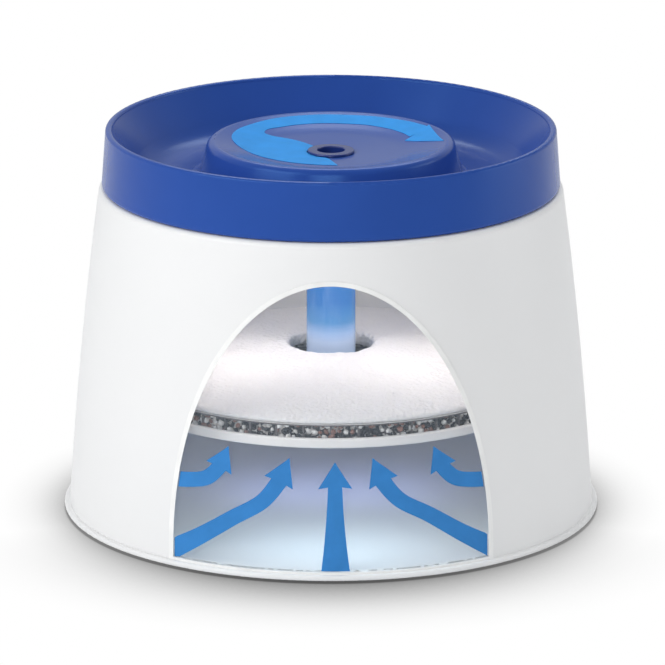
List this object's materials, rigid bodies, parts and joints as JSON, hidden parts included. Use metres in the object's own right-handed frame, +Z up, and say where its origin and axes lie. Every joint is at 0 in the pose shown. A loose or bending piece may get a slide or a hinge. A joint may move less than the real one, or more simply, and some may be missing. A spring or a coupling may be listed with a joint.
{
  "type": "pet water fountain",
  "caption": "Round pet water fountain: white tub with an arched window, tray with carbon and pad filter, pump and riser, and a blue lift-off drinking bowl.",
  "frame": {"origin": "centre of the tub at the table, under the feet", "axes": "+Z up along the riser tube; -Y faces out of the arched window; +X to the viewer's right"},
  "size_m": [0.24, 0.24, 0.1745],
  "materials": {
    "tub_white": "smooth",
    "clear_pane": "clear",
    "gasket_white": "satin",
    "foot_rubber": "matte",
    "grommet_rubber": "matte",
    "tray_white": "satin",
    "cage_white": "satin",
    "carbon_mix": "speckled",
    "pad_fibre": "fibrous",
    "pump_plastic": "matte",
    "seal_rubber": "matte",
    "shaft_ceramic": "polished",
    "bush_rubber": "matte",
    "impeller_plastic": "matte",
    "magnet_ferrite": "matte",
    "riser_blue": "clear",
    "bowl_blue": "glossy",
    "spout_blue": "glossy"
  },
  "bodies": {
    "base": {"housing": "tub_white", "window_pane": "clear_pane", "window_gasket": "gasket_white", "rubber_feet": "foot_rubber", "cable_grommet": "grommet_rubber"},
    "tray": {"filter_tray": "tray_white"},
    "pump": {"pump_body": "pump_plastic", "chamber_cover": "pump_plastic", "chamber_seal": "seal_rubber", "impeller_shaft": "shaft_ceramic", "front_bush": "bush_rubber", "rear_bush": "bush_rubber", "intake_cover": "pump_plastic", "suction_cups": "seal_rubber", "pump_cable_gland": "seal_rubber", "riser_tube": "riser_blue"},
    "rotor": {"impeller": "impeller_plastic", "rotor_magnet": "magnet_ferrite"},
    "dial": {"flow_dial": "pump_plastic"},
    "cartridge": {"cartridge_cage": "cage_white", "carbon_bed": "carbon_mix", "filter_pad": "pad_fibre"},
    "bowl": {"bowl": "bowl_blue", "riser_seal": "grommet_rubber", "spout_ring": "spout_blue"}
  },
  "joints": [
    {"name": "tray_lift", "type": "slide", "parent": "base", "child": "tray", "axis": [0, 0, 1], "range_m": [0, 0.13]},
    {"name": "pump_lift", "type": "slide", "parent": "tray", "child": "pump", "axis": [0, 0, 1], "range_m": [0, 0.03]},
    {"name": "impeller_spin", "type": "hinge", "parent": "pump", "child": "rotor", "pos_m": [0, 0.005, 0.0535], "axis": [0, 1, 0], "continuous": true},
    {"name": "flow_dial_turn", "type": "hinge", "parent": "pump", "child": "dial", "pos_m": [0, -0.02, 0.0535], "axis": [0, 1, 0], "range_deg": [0, 60]},
    {"name": "cartridge_lift", "type": "slide", "parent": "pump", "child": "cartridge", "axis": [0, 0, 1], "range_m": [0, 0.105]},
    {"name": "bowl_lift", "type": "slide", "parent": "cartridge", "child": "bowl", "axis": [0, 0, 1], "range_m": [0, 0.06]}
  ]
}
